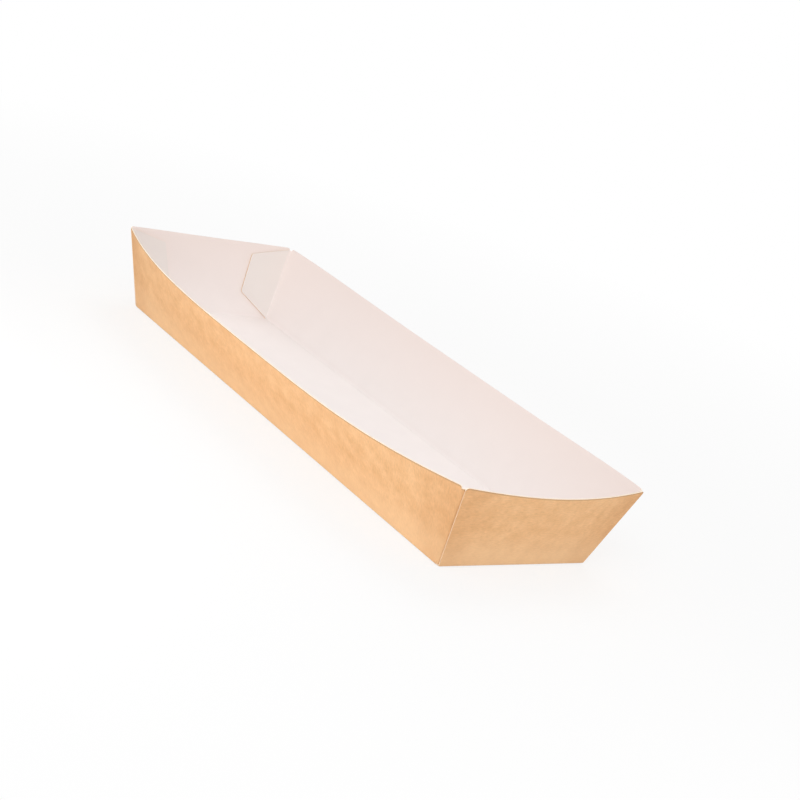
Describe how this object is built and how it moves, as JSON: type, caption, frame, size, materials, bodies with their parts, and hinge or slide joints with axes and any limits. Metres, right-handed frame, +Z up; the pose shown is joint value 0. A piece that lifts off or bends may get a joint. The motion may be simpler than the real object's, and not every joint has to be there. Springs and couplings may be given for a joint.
{
  "type": "paper food tray",
  "caption": "Open boat-shaped food tray, folded from one kraft board, with a flat floor, bowed sloping walls and glued corners.",
  "frame": {"origin": "middle of the flat underside, on the plane that the tray stands on", "axes": "+X along the tray, +Y across it, +Z up out of its mouth"},
  "size_m": [0.2218, 0.0918, 0.0292],
  "materials": {
    "kraft_board": "matt brown kraft outside, pale coated inside, cream cut edges"
  },
  "bodies": {
    "root": {"folded_tray": "kraft_board"}
  },
  "joints": []
}
